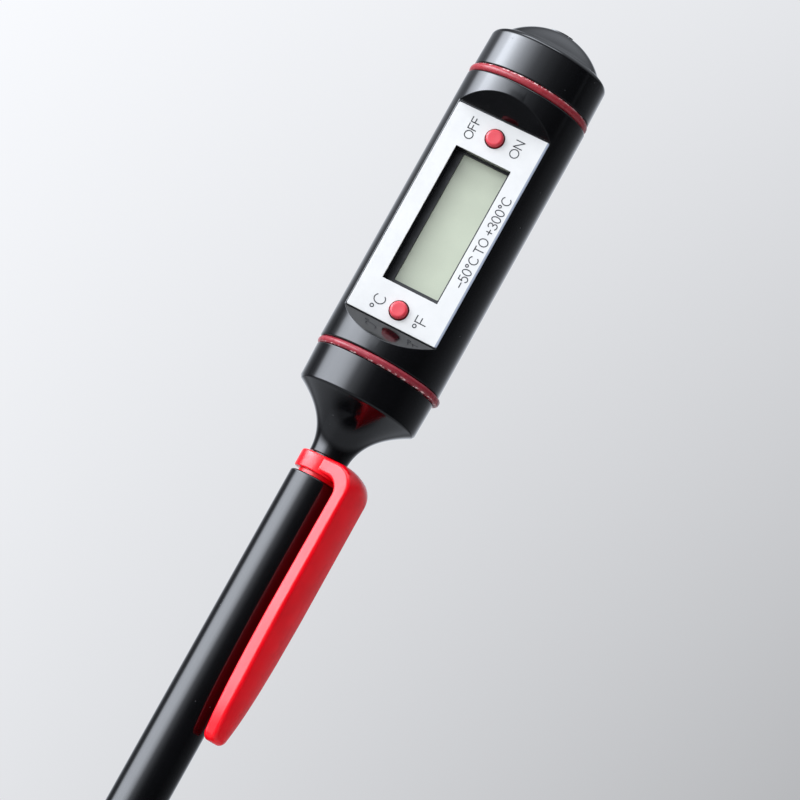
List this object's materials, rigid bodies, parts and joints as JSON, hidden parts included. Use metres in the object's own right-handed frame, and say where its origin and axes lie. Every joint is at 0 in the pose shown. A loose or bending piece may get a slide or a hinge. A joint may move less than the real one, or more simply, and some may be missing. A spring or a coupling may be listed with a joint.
{
  "type": "digital pen thermometer",
  "caption": "Pen-shaped digital probe thermometer with a display head, a screwed battery cap and a slim sheath with a pocket clip.",
  "frame": {"origin": "centre of the flat closed end of the sheath", "axes": "+Z along the probe's axis from the sheath's end to the battery cap; the display faces -Y"},
  "size_m": [0.021, 0.021, 0.2329],
  "materials": {
    "black_shell": "polished black moulding",
    "red_clip": "glossy red moulding",
    "red_button": "satin red moulding",
    "red_seal": "translucent red silicone rubber",
    "white_label": "printed white film with black lettering",
    "black_bezel": "fine matt black",
    "display_film": "greenish grey polarising film",
    "display_glass": "clear glass",
    "contact_rubber": "conductive striped rubber",
    "ivory_moulding": "ivory moulding",
    "dark_moulding": "dark moulding",
    "board_laminate": "green solder mask",
    "chip_resin": "black epoxy",
    "chip_ceramic": "tan ceramic with tinned ends",
    "spring_steel": "plated spring wire",
    "contact_brass": "plated brass strip",
    "cell_steel": "plated steel can",
    "probe_steel": "polished stainless tube",
    "lead_red": "red insulation",
    "lead_black": "black insulation",
    "bead_resin": "brown bead"
  },
  "bodies": {
    "head": {"barrel": "black_shell", "nose_cone": "black_shell", "nose_seal_ring": "red_seal", "face_label": "white_label", "display_bezel": "black_bezel", "display_polariser": "display_film", "display_front_glass": "display_glass", "display_rear_glass": "display_glass", "display_reflector": "display_film", "contact_strip_left": "contact_rubber", "contact_strip_right": "contact_rubber", "power_switch_body": "dark_moulding", "unit_switch_body": "dark_moulding", "circuit_board": "board_laminate", "chip_blob": "chip_resin", "reference_resistor": "dark_moulding", "pull_up_resistor": "dark_moulding", "filter_capacitor": "chip_ceramic", "cell_seat": "ivory_moulding", "seat_spring": "spring_steel", "side_contact": "contact_brass", "button_cell": "cell_steel", "probe_tube": "probe_steel", "resin_plug": "chip_resin", "thermistor_bead": "bead_resin", "thermistor_lead_left": "lead_red", "thermistor_lead_right": "lead_black"},
    "power_key": {"power_button": "red_button", "power_switch_plunger": "ivory_moulding"},
    "unit_key": {"unit_button": "red_button", "unit_switch_plunger": "ivory_moulding"},
    "cap_seal": {"cap_seal_ring": "red_seal"},
    "cap": {"battery_cap": "black_shell", "cap_spring": "spring_steel"},
    "sheath": {"sheath_tube": "black_shell"},
    "clip": {"pocket_clip": "red_clip"}
  },
  "joints": [
    {"name": "power_press", "type": "slide", "parent": "head", "child": "power_key", "axis": [0, 1, 0], "range_m": [0, 0.0004], "stiffness_N_per_m": 1500, "springref_m": -0.0002},
    {"name": "unit_press", "type": "slide", "parent": "head", "child": "unit_key", "axis": [0, 1, 0], "range_m": [0, 0.0004], "stiffness_N_per_m": 1500, "springref_m": -0.0002},
    {"name": "cap_lift", "type": "slide", "parent": "head", "child": "cap_seal", "axis": [0, 0, 1], "range_m": [0, 0.00241]},
    {"name": "cap_turn", "type": "hinge", "parent": "cap_seal", "child": "cap", "pos_m": [0, 0, 0.2223], "axis": [0, 0, 1], "range_deg": [0, 540]},
    {"name": "head_pull", "type": "slide", "parent": "sheath", "child": "head", "axis": [0, 0, 1], "range_m": [0, 0.156]},
    {"name": "clip_turn", "type": "hinge", "parent": "sheath", "child": "clip", "pos_m": [0, 0, 0.1576], "axis": [0, 0, 1], "continuous": true}
  ],
  "couplings": [
    {"joint": "cap_lift", "follows": "cap_turn", "m_per_rad": 0.00025465}
  ]
}
